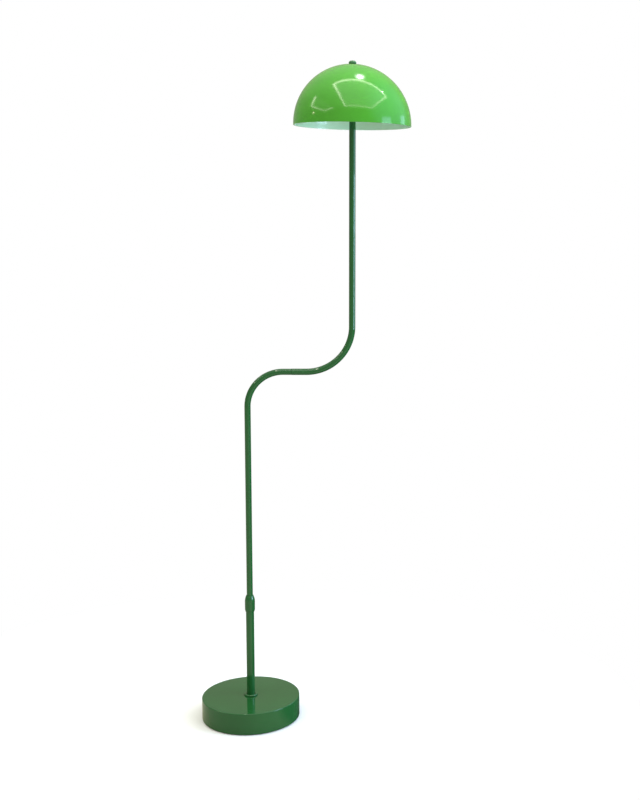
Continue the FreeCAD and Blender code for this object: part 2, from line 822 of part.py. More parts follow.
def bulb_cap():
    """Closed metal cap of the bulb with its contact tip."""
    radius, tip = cell("bulb_cap_radius"), cell("bulb_tip_radius")
    seat = bulb_seat()
    shoulder = seat + cell("bulb_tip_height")
    turned("bulb_cap", [
        (0, seat), (tip - 1, seat), (tip, shoulder), (radius - 3, shoulder + 3), (radius, shoulder + 5),
        (radius, shoulder + cell("bulb_cap_height")), (0, shoulder + cell("bulb_cap_height"))], lamp_axis)


def bulb_globe():
    """Opal glass globe, open only where it is cemented into the cap."""
    radius, neck, wall = cell("bulb_radius"), cell("bulb_neck_radius"), cell("bulb_wall")
    bottom = bulb_seat() + cell("bulb_tip_height") + cell("bulb_cap_height")
    centre = cell("bulb_centre_height")
    neck_top = centre - (radius * radius - neck * neck).root()
    inner, inner_neck = radius - wall, neck - wall
    inner_top = centre - (inner * inner - inner_neck * inner_neck).root()
    turned("bulb_globe", [
        (inner_neck, bottom), (neck, bottom), (neck, neck_top), (radius, centre, radius, 1),
        (0, centre + radius, radius, 1), (0, centre + inner),
        (inner, centre, inner, -1), (inner_neck, inner_top, inner, -1)], lamp_axis)


# ---------------------------------------------------------------------------------------
# Harp and shade
# ---------------------------------------------------------------------------------------
def shade_centre():
    """Height of the centre of the dome's sphere above the end of the arm tube."""
    return cell("shade_rim") + cell("shade_skirt") - cell("upper_top")


def seat_top():
    inner = cell("shade_radius") - cell("shade_layer") * 2
    return shade_centre() + inner - cell("seat_drop")


def harp():
    """Bent wire round the bulb with a threaded stud brazed on its top."""
    body = new_piece("harp", lamp_axis)
    wide, corner, height = cell("harp_half_width"), cell("harp_corner"), cell("harp_height")
    section = new_sketch(body, "section", "XY_Plane", -1)
    draw_circle(section, cell("harp_wire_radius"), (-wide, 0))
    route = new_sketch(body, "route", "XZ_Plane")
    draw(route, [
        (-wide, -1), (-wide, height - corner), (corner - wide, height, corner, -1),
        (wide - corner, height), (wide, height - corner, corner, -1), (wide, -1)], closed=False)
    wire = body.newObject("PartDesign::AdditivePipe", "harp_wire")
    wire.Profile = section
    wire.Spine = (route, [f"Edge{number}" for number in range(1, 6)])
    seat_bottom = seat_top() - cell("seat_thickness")
    collar = new_sketch(body, "stud_collar", "XY_Plane", height)
    draw_circle(collar, cell("stud_collar_radius"))
    pad(body, collar, seat_bottom - height)
    stud = new_sketch(body, "stud", "XY_Plane", height)
    draw_circle(stud, cell("stud_radius"))
    dome_top = shade_centre() + cell("shade_radius")
    pad(body, stud, dome_top + cell("knob_washer_thickness") + cell("knob_height") - 2.5 - height)


def shade_seat():
    """Steel washer on the stud that the dome rests on."""
    top = seat_top()
    sleeve("shade_seat", cell("stud_radius") + fixed, cell("seat_radius"),
           top - cell("seat_thickness"), top, lamp_axis)


def dome(label, outer, inner):
    """Half a sphere with a short upright skirt and a hole for the stud."""
    centre, skirt = shade_centre(), cell("shade_skirt")
    hole = cell("shade_hole_radius")
    outer_top = centre + (outer * outer - hole * hole).root()
    inner_top = centre + (inner * inner - hole * hole).root()
    turned(label, [
        (inner, centre - skirt), (outer, centre - skirt), (outer, centre),
        (hole, outer_top, outer, 1), (hole, inner_top), (inner, centre, inner, -1)], lamp_axis)


def shade():
    outer = cell("shade_radius")
    dome("shade", outer, outer - cell("shade_layer"))


def shade_lining():
    outer = cell("shade_radius") - cell("shade_layer")
    dome("shade_lining", outer, outer - cell("shade_layer"))


def knob_washer():
    dome_top = shade_centre() + cell("shade_radius")
    sleeve("knob_washer", cell("stud_radius") + fixed, cell("knob_washer_radius"),
           dome_top, dome_top + cell("knob_washer_thickness"), lamp_axis)


def finial_knob():
    """Low round knob nut with a dished crown and a small centre nub."""
    bottom = shade_centre() + cell("shade_radius") + cell("knob_washer_thickness")
    top = bottom + cell("knob_height")
    radius, edge = cell("knob_radius"), cell("knob_edge")
    bore = cell("stud_radius") + fixed
    turned("finial_knob", [
        (bore, bottom), (radius - 1, bottom), (radius, bottom + 1), (radius, top - edge - 0.8),
        (radius - edge, top - 0.8, edge, 1), (2.6, top - 0.8), (1.8, top), (0, top),
        (0, top - 2), (bore, top - 2)], lamp_axis)


MAKERS = (
    base_felt, base_plate, plate_screws, base_weight, base_cover, cable_grommet, terminal_block,
    cord_clamp, clamp_screws, foot_ring, stem_rod, stem_washer, stem_nut, stem_plug, stem_tube,
    clamp_bush, collet, collar_nut, guide_bush, lower_arm_tube, retaining_clips, lower_plug,
    pivot_nipple, swivel_washer, stop_pin, upper_plug, pivot_washer, pivot_nut, base_lead,
    lower_lead, upper_lead, upper_arm_tube, top_plug, holder_nipple, harp_saddle, lampholder_cap,
    lampholder_shell, contact_insert, screw_sleeve, centre_contact, bulb_cap, bulb_globe, harp,
    shade_seat, shade, shade_lining, knob_washer, finial_knob)

for make in MAKERS:
    make()
doc.recompute()

for item in doc.Objects:
    if {"Invalid", "Error"} & set(item.State):
        raise RuntimeError(f"{item.Label}: {item.State}")
for piece in pieces:
    if piece.Shape.isNull() or not piece.Shape.isValid():
        raise RuntimeError(f"{piece.Label}: bad shape")

os.makedirs("parts", exist_ok=True)
for piece in pieces:
    piece.Shape.exportStep(f"parts/{piece.Label}.step")
    box = piece.Shape.BoundBox
    print(f"{piece.Label}: {len(piece.Shape.Solids)} solid(s), {piece.Shape.Volume / 1000:.2f} cm3, "
          f"z {box.ZMin:.1f} to {box.ZMax:.1f}")
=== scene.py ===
import json
import math

import bmesh
import bpy
from mathutils import Matrix, Vector


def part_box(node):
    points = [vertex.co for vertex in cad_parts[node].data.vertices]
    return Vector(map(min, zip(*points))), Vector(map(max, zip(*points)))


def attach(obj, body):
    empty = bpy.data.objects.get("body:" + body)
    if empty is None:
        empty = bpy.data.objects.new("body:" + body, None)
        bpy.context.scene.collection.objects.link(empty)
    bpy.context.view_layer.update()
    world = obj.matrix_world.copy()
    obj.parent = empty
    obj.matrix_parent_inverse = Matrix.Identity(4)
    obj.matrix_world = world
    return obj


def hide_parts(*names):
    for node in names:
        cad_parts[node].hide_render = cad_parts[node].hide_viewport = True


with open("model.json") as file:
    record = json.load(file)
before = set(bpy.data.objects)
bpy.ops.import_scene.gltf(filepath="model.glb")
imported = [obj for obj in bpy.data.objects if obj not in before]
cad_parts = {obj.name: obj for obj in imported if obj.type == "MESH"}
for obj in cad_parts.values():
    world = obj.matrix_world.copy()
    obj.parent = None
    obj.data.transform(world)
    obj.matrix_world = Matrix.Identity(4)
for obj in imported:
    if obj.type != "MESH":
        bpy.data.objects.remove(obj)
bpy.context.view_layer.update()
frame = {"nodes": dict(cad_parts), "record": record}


# ---------------------------------------------------------------------------
# Iron weight
# The lump that keeps the lamp upright: a grey iron casting, turned on its faces,
# with a boss for the stem. It lies loose in the cover until the rod is tightened.
# ---------------------------------------------------------------------------
def finish(name, dark, light, grain, roughness, relief=0.0, relief_grain=0.002, stretch=(1, 1, 1), **extra):
    """A surface finish: two close tones clouded by noise of a given grain (metres), a fine relief of
    a given height, and plain numbers for any other socket of the shader."""
    made = bpy.data.materials.new(name)
    made.use_nodes = True
    nodes, links = made.node_tree.nodes, made.node_tree.links
    shader = nodes["Principled BSDF"]
    where = nodes.new("ShaderNodeTexCoord")
    scaled = nodes.new("ShaderNodeMapping")
    scaled.inputs["Scale"].default_value = stretch
    links.new(where.outputs["Object"], scaled.inputs["Vector"])
    cloud = nodes.new("ShaderNodeTexNoise")
    cloud.inputs["Scale"].default_value = 1 / grain
    cloud.inputs["Detail"].default_value = 5
    links.new(scaled.outputs["Vector"], cloud.inputs["Vector"])
    tones = nodes.new("ShaderNodeValToRGB")
    tones.color_ramp.elements[0].position = 0.35
    tones.color_ramp.elements[0].color = (*dark, 1)
    tones.color_ramp.elements[1].position = 0.65
    tones.color_ramp.elements[1].color = (*light, 1)
    links.new(cloud.outputs["Fac"], tones.inputs["Fac"])
    links.new(tones.outputs["Color"], shader.inputs["Base Color"])
    shader.inputs["Roughness"].default_value = roughness
    for socket, number in extra.items():
        shader.inputs[socket.replace("_", " ")].default_value = number
    if relief:
        skin = nodes.new("ShaderNodeTexNoise")
        skin.inputs["Scale"].default_value = 1 / relief_grain
        skin.inputs["Detail"].default_value = 3
        links.new(scaled.outputs["Vector"], skin.inputs["Vector"])
        bump = nodes.new("ShaderNodeBump")
        bump.inputs["Distance"].default_value = relief
        links.new(skin.outputs["Fac"], bump.inputs["Height"])
        links.new(bump.outputs["Normal"], shader.inputs["Normal"])
    return made


def dress(node, material):
    """Give a CAD piece that keeps its shape its finish."""
    data = frame["nodes"][node].data
    data.materials.clear()
    data.materials.append(material)


cast_iron = finish("cast_iron_lacquered", (0.020, 0.020, 0.022), (0.045, 0.044, 0.043), 0.006, 0.55,
                   relief=0.0006, relief_grain=0.0025, Metallic=0.6)
dress("base_weight", cast_iron)


# ---------------------------------------------------------------------------
# Terminal block, cord clamp and its screws
# They sit in the channel under the weight: a moulded two-way block with screw wells,
# and a nylon bar that two small screws pull up against the mains lead.
# ---------------------------------------------------------------------------
natural_nylon = finish("natural_nylon", (0.66, 0.65, 0.60), (0.74, 0.73, 0.69), 0.004, 0.42,
                       relief=0.00005, relief_grain=0.0008, Subsurface_Weight=0.1, Subsurface_Scale=0.002)
dress("terminal_block", natural_nylon)
dress("cord_clamp", natural_nylon)


def soften(corners, steps=5):
    """An outline from corners (radius, height) or (radius, height, rounding); each rounding becomes a
    short arc."""
    points = []
    neighbours = zip(corners[-1:] + corners[:-1], corners, corners[1:] + corners[:1])
    for before, corner, after in neighbours:
        spot = Vector(corner[:2])
        if len(corner) < 3:
            points.append(spot)
            continue
        back = (Vector(before[:2]) - spot).normalized()
        ahead = (Vector(after[:2]) - spot).normalized()
        half = back.angle(ahead) / 2
        centre = spot + (back + ahead).normalized() * (corner[2] / math.sin(half))
        reach = corner[2] / math.tan(half)
        first = (spot + back * reach - centre).normalized()
        last = (spot + ahead * reach - centre).normalized()
        for step in range(steps + 1):
            points.append(centre + first.slerp(last, step / steps) * corner[2])
    return points


def lathe(outline, axis=(0, 0), steps=96, shape=None):
    """A closed mesh turned from an outline of (radius, height) about an upright line. shape may change
    a radius: it is given the radius, the angle and the height."""
    mesh = bmesh.new()
    rings = []
    for radius, height in outline:
        if radius < 1e-7:
            rings.append([mesh.verts.new((axis[0], axis[1], height))])
            continue
        ring = []
        for step in range(steps):
            angle = 2 * math.pi * step / steps
            reach = shape(radius, angle, height) if shape else radius
            ring.append(mesh.verts.new((axis[0] + reach * math.cos(angle),
                                        axis[1] + reach * math.sin(angle), height)))
        rings.append(ring)
    for ring, after in zip(rings, rings[1:] + rings[:1]):
        for step in range(steps):
            following = (step + 1) % steps
            corners = [ring[step % len(ring)], ring[following % len(ring)],
                       after[following % len(after)], after[step % len(after)]]
            corners = list(dict.fromkeys(corners))
            if len(corners) > 2:
                mesh.faces.new(corners)
    return mesh


body_of = {node: body for body, nodes in frame["record"]["behaviour"]["bodies"].items() for node in nodes}


def stand(name, mesh):
    """Turn a working mesh into an object."""
    bmesh.ops.recalc_face_normals(mesh, faces=mesh.faces)
    data = bpy.data.meshes.new(name)
    mesh.to_mesh(data)
    mesh.free()
    piece = bpy.data.objects.new(name, data)
    bpy.context.scene.collection.objects.link(piece)
    return piece


def fit(name, mesh, node, material, crease=35, cutter=None):
    """Finish a mesh, less its cutter, and put it in the lamp in place of a CAD node."""
    piece = stand(name, mesh)
    if cutter:
        tool = stand("cutter", cutter)
        cut = piece.modifiers.new("cut", "BOOLEAN")
        cut.solver = "EXACT"
        cut.use_self = True
        cut.object = tool
        shown = piece.evaluated_get(bpy.context.evaluated_depsgraph_get())
        piece.data = bpy.data.meshes.new_from_object(shown)
        piece.modifiers.clear()
        bpy.data.objects.remove(tool)
    piece.data.name = name
    piece.data.shade_smooth()
    piece.data.set_sharp_from_angle(angle=math.radians(crease))
    piece.data.materials.clear()
    piece.data.materials.append(material)
    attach(piece, body_of[node])
    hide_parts(node)
    return piece


zinc_plate = finish("zinc_plate", (0.52, 0.53, 0.52), (0.62, 0.63, 0.61), 0.003, 0.34,
                    relief=0.00002, relief_grain=0.0006, Metallic=1.0)


def evenly(start, end, count):
    """Outline points spaced evenly between two (radius, height) points, both ends included."""
    first, last = Vector(start), Vector(end)
    return [first.lerp(last, step / count) for step in range(count + 1)]


def thread(pitch, depth, nominal):
    """A lathe shape that cuts a thread wherever the outline is at the nominal radius."""
    def shape(radius, angle, height):
        if abs(radius - nominal) > 1e-6:
            return radius
        turn = (height / pitch - angle / (2 * math.pi)) % 1
        return radius - depth * abs(2 * turn - 1)
    return shape


def threaded(radius, bottom, top, pitch):
    """Outline points close enough together to carry a thread of that pitch."""
    return evenly((radius, bottom), (radius, top), max(2, round((top - bottom) / pitch * 6)))


def merge(target, source, place=Matrix.Identity(4)):
    """Move one mesh by a matrix and add it to another."""
    source.transform(place)
    spare = bpy.data.meshes.new("spare")
    source.to_mesh(spare)
    source.free()
    target.from_mesh(spare)
    bpy.data.meshes.remove(spare)


def pan_head_screw(head_radius, head_height, radius, length, pitch):
    """A screw that stands head down at the origin, with a domed head and a threaded shank."""
    tip = head_height + length
    head = soften([(0, 0), (head_radius, 0, head_height * 0.9), (head_radius, head_height)])
    shank = [(radius * 0.8, head_height)] + threaded(radius, head_height + pitch, tip - pitch, pitch)
    return lathe(head + shank + [(radius * 0.6, tip), (0, tip)], steps=48,
                 shape=thread(pitch, radius * 0.16, radius))


def cross(width, length, depth):
    """The cutter for a cross recess, centred on the origin."""
    blades = bmesh.new()
    for across in ((width, length), (length, width)):
        bmesh.ops.create_cube(blades, size=1, matrix=Matrix.Diagonal((*across, depth * 2, 1)))
    return blades


def screw_set(places, bottom, head_radius, head_height, radius, length, pitch):
    """Equal screws at several places, and the cutter for all their cross recesses."""
    screws, recesses = bmesh.new(), bmesh.new()
    for x, y in places:
        spot = Matrix.Translation((x, y, bottom))
        merge(screws, pan_head_screw(head_radius, head_height, radius, length, pitch), spot)
        merge(recesses, cross(head_radius * 0.28, head_radius * 1.1, head_height * 0.6), spot)
    return screws, recesses


low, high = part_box("clamp_screws")
bar_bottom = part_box("cord_clamp")[0].z
clamp_head = (high.y - low.y) / 2
clamp_places = [(low.x + clamp_head, low.y + clamp_head), (high.x - clamp_head, low.y + clamp_head)]
screws, recesses = screw_set(clamp_places, low.z, clamp_head, bar_bottom - low.z, 0.0015,
                             high.z - bar_bottom, 0.0007)
fit("clamp_screw_pair", screws, "clamp_screws", zinc_plate, cutter=recesses)


# ---------------------------------------------------------------------------
# Steel rod, washer and nut
# A hollow rod, threaded from end to end, screwed up into the stem's plug. The nut in the
# weight's recess pulls stem, trim ring, cover and weight together; the lead runs inside.
# ---------------------------------------------------------------------------
def axis_piece(node):
    """Axis (x, y), outer radius, bottom and top of an upright turned CAD piece."""
    low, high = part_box(node)
    return ((low.x + high.x) / 2, (low.y + high.y) / 2), (high.x - low.x) / 2, low.z, high.z


def threaded_rod(node, bore, pitch):
    """A hollow threaded rod standing on its axis."""
    axis, radius, bottom, top = axis_piece(node)
    outer = threaded(radius, bottom + pitch, top - pitch, pitch)
    outline = [(bore, bottom), (radius - pitch * 0.6, bottom)] + outer
    outline += [(radius - pitch * 0.6, top), (bore, top)]
    return lathe(outline, axis, steps=48, shape=thread(pitch, pitch * 0.55, radius))


def hexagon(node, bore):
    """A hexagon nut with turned-off corners, bored through, from its CAD box."""
    axis, corner, bottom, top = axis_piece(node)
    return hexagon_solid(corner, bore, bottom, top, axis)


def hexagon_solid(corner, bore, bottom, top, axis=(0, 0)):
    """A bored hexagon between two heights, corner being its largest radius."""
    flat = corner * math.cos(math.pi / 6)
    bevel = (corner - flat) * 0.6

    def shape(radius, angle, height):
        if radius <= bore * 1.3:
            return radius
        sector = (angle + math.pi / 6) % (math.pi / 3) - math.pi / 6
        return min(radius, flat / math.cos(sector))

    outline = [(bore, bottom + bevel * 0.4), (bore + bevel * 0.4, bottom)]
    outline += evenly((flat * 0.96, bottom), (corner, bottom + bevel), 4)
    outline += evenly((corner, top - bevel), (flat * 0.96, top), 4)
    outline += [(bore + bevel * 0.4, top), (bore, top - bevel * 0.4)]
    return lathe(outline, axis, steps=96, shape=shape)


def band(bore, radius, bottom, top, edge):
    """The outline of a plain ring or tube with eased edges."""
    return soften([(bore, bottom, edge), (radius, bottom, edge), (radius, top, edge), (bore, top, edge)])


rod_bore, rod_hole, rod_pitch = 0.0031, 0.00505, 0.001
fit("threaded_stem_rod", threaded_rod("stem_rod", rod_bore, rod_pitch), "stem_rod", zinc_plate)
fit("stem_hex_nut", hexagon("stem_nut", rod_hole), "stem_nut", zinc_plate, crease=25)
axis, radius, bottom, top = axis_piece("stem_washer")
fit("stem_flat_washer", lathe(band(rod_hole, radius, bottom, top, 0.0003), axis), "stem_washer", zinc_plate)


# ---------------------------------------------------------------------------
# Foot plate and its three screws
# A zinc-plated steel disc that closes the foot from below and is screwed into the iron
# weight with pan-head screws, which stand in holes of the felt.
# ---------------------------------------------------------------------------
spun_zinc = finish("spun_zinc", (0.50, 0.51, 0.50), (0.58, 0.59, 0.58), 0.02, 0.30,
                   relief=0.00002, relief_grain=0.0005, Metallic=1.0)
axis, radius, bottom, top = axis_piece("base_plate")
screw_low, screw_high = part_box("plate_screws")
screw_head = 0.004
screw_circle = -screw_low.y - screw_head
screw_places = [(screw_circle * math.cos(math.radians(turn)), screw_circle * math.sin(math.radians(turn)))
                for turn in (-90, 30, 150)]


def pillars(places, radius, bottom, top, steps=64):
    """Upright round cutters at several places."""
    cutters = bmesh.new()
    for x, y in places:
        merge(cutters, lathe([(0, bottom), (radius, bottom), (radius, top), (0, top)], (x, y), steps))
    return cutters


edge, screw_hole = 0.0004, 0.00205
plate = lathe(soften([(0, bottom), (radius, bottom, edge), (radius, top, edge), (0, top)]), steps=192)
fit("foot_plate", plate, "base_plate", spun_zinc, cutter=pillars(screw_places, screw_hole, 0, 0.01))
screws, recesses = screw_set(screw_places, screw_low.z, screw_head, bottom - screw_low.z, 0.002,
                             screw_high.z - bottom, 0.0007)
fit("foot_plate_screws", screws, "plate_screws", zinc_plate, cutter=recesses)


# ---------------------------------------------------------------------------
# Felt pad
# A disc of pressed black felt glued under the plate so that the foot doesn't scratch the
# floor. Punched out around the screws.
# ---------------------------------------------------------------------------
felt = finish("pressed_felt", (0.012, 0.012, 0.013), (0.035, 0.035, 0.037), 0.0015, 0.95,
              relief=0.0005, relief_grain=0.0007, Sheen_Weight=0.5, Sheen_Roughness=0.6)
axis, radius, bottom, top = axis_piece("base_felt")
edge, head_hole = 0.0007, 0.006
pad = lathe(soften([(0, bottom), (radius, bottom, edge), (radius, top, edge), (0, top)]), steps=192)
fit("felt_pad", pad, "base_felt", felt, cutter=pillars(screw_places, head_hole, -0.01, 0.01))


# ---------------------------------------------------------------------------
# Foot cover
# A drum spun from sheet steel with a small round at the rim, enamelled deep green to a
# high gloss. It hangs over the weight and is held only by the rod through its centre.
# ---------------------------------------------------------------------------
green_enamel = finish("green_enamel", (0.0100, 0.089, 0.0185), (0.0130, 0.101, 0.0225), 0.09, 0.05,
                      relief=0.000012, relief_grain=0.0035)
axis, radius, bottom, top = axis_piece("base_cover")
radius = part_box("base_cover")[1].y
wall, edge, hem, bore = 0.0015, 0.002, 0.0005, 0.0053
drum = lathe(soften([
    (radius, bottom, hem), (radius, top, edge), (bore, top, hem), (bore, top - wall),
    (radius - wall, top - wall, edge - wall), (radius - wall, bottom, hem)], steps=8), steps=256)
inlet_low, inlet_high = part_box("cable_grommet")
inlet_height = (inlet_low.z + inlet_high.z) / 2
lay_along_y = Matrix.Translation((0, 0, inlet_height)) @ Matrix.Rotation(-math.pi / 2, 4, "X")
inlet_hole, reach = 0.00505, 0.02
inlet = pillars([(0, 0)], inlet_hole, radius - reach, radius + reach)
inlet.transform(lay_along_y)
fit("foot_drum", drum, "base_cover", green_enamel, cutter=inlet)


# ---------------------------------------------------------------------------
# Cable grommet
# A soft black ring pressed into the hole at the back of the drum; its two flanges grip
# the sheet and its bore lets the mains lead through.
# ---------------------------------------------------------------------------
black_rubber = finish("black_rubber", (0.012, 0.012, 0.012), (0.022, 0.022, 0.022), 0.003, 0.6,
                      relief=0.00006, relief_grain=0.0006, Specular_IOR_Level=0.35)
bore, neck, flange, edge = 0.0035, 0.005, 0.007, 0.0005
inside, outside = radius - wall - 0.0003, radius + 0.00005
ring = lathe(soften([
    (bore, inlet_low.y, edge), (flange, inlet_low.y, edge), (flange, inside, edge), (neck, inside),
    (neck, outside), (flange, outside, edge), (flange - 0.0006, inlet_high.y, edge * 1.4),
    (bore, inlet_high.y, edge)]), steps=64)
ring.transform(lay_along_y)
fit("inlet_grommet", ring, "cable_grommet", black_rubber)


# ---------------------------------------------------------------------------
# Trim ring
# A low turned ring, enamelled with the drum, that hides the joint between the stem and
# the drum. It is slipped over the stem and clamped under it.
# ---------------------------------------------------------------------------
axis, radius, bottom, top = axis_piece("foot_ring")
inner = 0.01005
trim = soften([
    (inner, bottom), (radius, bottom, 0.0012), (radius, top, 0.0028), (inner + 0.0012, top, 0.0006),
    (inner, top - 0.0012)], steps=10)
fit("stem_trim_ring", lathe(trim, axis, steps=128), "foot_ring", green_enamel)


# ---------------------------------------------------------------------------
# Stem tube and its plug
# Welded steel tube, 20 mm across, enamelled inside the mouth and out. The plug is brazed
# into its lower end and takes the rod's thread.
# ---------------------------------------------------------------------------
axis, radius, bottom, top = axis_piece("stem_plug")
plug = lathe(band(rod_hole, radius, bottom, top, 0.0008), axis)
fit("brazed_stem_plug", plug, "stem_plug", zinc_plate)
axis, radius, bottom, top = axis_piece("stem_tube")
wall = 0.0015
tube = lathe(band(radius - wall, radius, bottom, top, 0.0003), axis, steps=128)
fit("stem_outer_tube", tube, "stem_tube", green_enamel)


# ---------------------------------------------------------------------------
# Clamp bush, collet and collar
# A turned brass bush in the mouth of the stem carries a fine thread. The collar, turned from
# steel and enamelled, screws down on it; its cone squeezes the split nylon collet on the arm.
# ---------------------------------------------------------------------------
turned_brass = finish("turned_brass", (0.55, 0.38, 0.13), (0.66, 0.47, 0.18), 0.004, 0.25,
                      relief=0.00001, relief_grain=0.0004, Metallic=1.0)
axis, radius, bottom, top = axis_piece("clamp_bush")
bore, spigot, neck, flange, pitch = 0.00758, 0.00845, 0.0095, 0.002, 0.001
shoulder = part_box("stem_tube")[1].z
bush = [(bore, bottom, 0.0003), (spigot, bottom, 0.0005), (spigot, shoulder), (radius, shoulder),
        (radius, shoulder + flange, 0.0004), (neck - 0.0006, shoulder + flange)]
bush += threaded(neck, shoulder + flange + pitch, top - pitch, pitch)
bush += [(neck - 0.0006, top), (bore, top)]
fit("threaded_clamp_bush", lathe(soften(bush), axis, steps=64, shape=thread(pitch, 0.0005, neck)),
    "clamp_bush", turned_brass)
dress("collet", natural_nylon)

axis, radius, bottom, top = axis_piece("collar_nut")
foot_radius, foot_height, shoulder, crown_radius = 0.0109, 0.005, bottom + 0.026, 0.0085
bulge_out, bulge_up = 0.000935, 0.00033
crown = []
for step in range(17):
    share = step / 16
    swell = 4 * share * (1 - share)
    crown.append((radius + (crown_radius - radius) * share + swell * bulge_out,
                  shoulder + (top - shoulder) * share + swell * bulge_up))
skirt_bore, skirt_top = 0.0103, bottom + 0.0203
thread_bore, thread_top = 0.00958, top - 0.0085
cone_radius, cone_top, mouth = 0.0086, top - 0.0015, 0.0078
collar = soften([
    (skirt_bore, skirt_top), (skirt_bore, bottom), (foot_radius, bottom, 0.0003),
    (radius, bottom + foot_height, 0.003), crown[0]])[:-1]
collar += crown
collar += [(mouth, top), (mouth, cone_top), (cone_radius, cone_top), (thread_bore, thread_top),
           (thread_bore, skirt_top)]
fit("clamp_collar", lathe(collar, axis, steps=128), "collar_nut", green_enamel, crease=28)


# ---------------------------------------------------------------------------
# Guide bush and spring clips
# A nylon sleeve on the lower end of the arm runs in the stem; two spring-steel clips in
# the tube's surface keep it in place and let the arm turn in it.
# ---------------------------------------------------------------------------
axis, radius, bottom, top = axis_piece("guide_bush")
bore, groove = 0.00758, 0.0003
bush = [(bore, bottom), (radius - 0.0004, bottom), (radius, bottom + 0.0008)]
for place in (0.25, 0.5, 0.75):
    middle = bottom + (top - bottom) * place
    bush += [(radius, middle - 0.001), (radius - groove, middle - 0.0007),
             (radius - groove, middle + 0.0007), (radius, middle + 0.001)]
bush += [(radius, top - 0.0008), (radius - 0.0004, top), (bore, top)]
fit("nylon_guide_bush", lathe(bush, axis), "guide_bush", natural_nylon)

spring_steel = finish("spring_steel", (0.16, 0.16, 0.17), (0.24, 0.24, 0.25), 0.004, 0.35,
                      relief=0.00001, relief_grain=0.0005, Metallic=1.0)
axis, radius, bottom, top = axis_piece("retaining_clips")
bore, thickness, edge = 0.00755, 0.0012, 0.0002
clips = bmesh.new()
for height in (bottom, top - thickness):
    outline = soften([(bore, height), (radius, height, edge), (radius, height + thickness, edge),
                      (bore, height + thickness)])
    merge(clips, lathe(outline, axis, steps=96))
gap, reach = 0.006, 0.01
opening = bmesh.new()
bmesh.ops.create_cube(opening, size=1, matrix=Matrix.Translation((-0.008, 0, (bottom + top) / 2))
                      @ Matrix.Diagonal((reach, gap, top - bottom + reach, 1)))
fit("open_spring_clips", clips, "retaining_clips", spring_steel, cutter=opening)


# ---------------------------------------------------------------------------
# Lower arm
# One length of 15 mm steel tube, bent once on a mandrel: straight up out of the stem, a
# wide bend, then level to the swivel. Enamelled after bending.
# ---------------------------------------------------------------------------
def walk(start, heading, legs):
    """Stations (x, z, heading) along a flat route. A leg is a length, or (bend radius, degrees) with
    left turns positive."""
    x, z = start
    stations = [(x, z, heading)]
    for leg in legs:
        if isinstance(leg, tuple):
            radius, degrees = leg
            side = math.copysign(1, degrees)
            centre = (x - side * radius * math.sin(heading), z + side * radius * math.cos(heading))
            begin = heading
            count = round(abs(degrees) / 1.5)
            for step in range(1, count + 1):
                heading = begin + math.radians(degrees) * step / count
                x = centre[0] + side * radius * math.sin(heading)
                z = centre[1] - side * radius * math.cos(heading)
                stations.append((x, z, heading))
        else:
            x += leg * math.cos(heading)
            z += leg * math.sin(heading)
            stations.append((x, z, heading))
    return stations


def sweep(stations, radius, bore=0.0, lip=0.0003, steps=96):
    """A round bar, or a tube with a bore, along stations in the plane y = 0, with eased end edges."""
    mesh = bmesh.new()

    def ring(station, reach, ahead=0.0):
        x, z, heading = station
        x, z = x + ahead * math.cos(heading), z + ahead * math.sin(heading)
        return [mesh.verts.new((x - math.sin(heading) * reach * math.cos(turn), reach * math.sin(turn),
                                z + math.cos(heading) * reach * math.cos(turn)))
                for turn in (2 * math.pi * step / steps for step in range(steps))]

    rings = [ring(stations[0], radius - lip), ring(stations[0], radius, lip)]
    rings += [ring(station, radius) for station in stations[1:-1]]
    rings += [ring(stations[-1], radius, -lip), ring(stations[-1], radius - lip)]
    if bore:
        rings += [ring(station, bore) for station in reversed(stations)]
        rings.append(rings[0])
    for this, after in zip(rings, rings[1:]):
        for step in range(steps):
            following = (step + 1) % steps
            mesh.faces.new((this[step], this[following], after[following], after[step]))
    if not bore:
        mesh.faces.new(rings[0])
        mesh.faces.new(rings[-1])
    return mesh


upright, level = math.pi / 2, 0.0
low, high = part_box("lower_arm_tube")
radius, wall, bend = 0.0075, 0.0012, 0.085
arm_height = high.z - radius
lower_route = walk((0, low.z), upright, [arm_height - bend - low.z, (bend, -90), high.x - bend])
fit("lower_arm_bent_tube", sweep(lower_route, radius, radius - wall), "lower_arm_tube", green_enamel)


# ---------------------------------------------------------------------------
# Swivel
# Two steel plugs brazed in the meeting ends of the arm turn on a short hollow threaded pivot.
# A nylon washer parts the tubes, a wave washer under the nut keeps them stiff, and a pin in a
# half-round step stops the turn. Only the thin joint line shows.
# ---------------------------------------------------------------------------
swivel_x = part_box("lower_arm_tube")[1].x
lay_along_x = Matrix.Translation((swivel_x, 0, arm_height)) @ Matrix.Rotation(math.pi / 2, 4, "Y")
black_nylon = finish("black_nylon", (0.008, 0.012, 0.009), (0.016, 0.022, 0.017), 0.003, 0.5,
                     relief=0.00003, relief_grain=0.0006)
for node in ("lower_plug", "upper_plug", "stop_pin", "top_plug"):
    dress(node, zinc_plate)


def level_span(node):
    """Start and end of a level piece, measured along its axis from the swivel."""
    low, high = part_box(node)
    return low.x - swivel_x, high.x - swivel_x


start, end = level_span("pivot_nipple")
bore, radius, pitch = 0.0029, 0.004, 0.001
pivot = [(bore, start), (radius - 0.0006, start)] + threaded(radius, start + pitch, end - pitch, pitch)
pivot = lathe(pivot + [(radius - 0.0006, end), (bore, end)], steps=48, shape=thread(pitch, 0.0005, radius))
pivot.transform(lay_along_x)
fit("hollow_pivot", pivot, "pivot_nipple", zinc_plate)

start, end = level_span("swivel_washer")
bore, radius = 0.0063, 0.0074
washer = lathe([(bore, start), (radius, start), (radius, end), (bore, end)], steps=96)
washer.transform(lay_along_x)
fit("swivel_nylon_washer", washer, "swivel_washer", black_nylon)

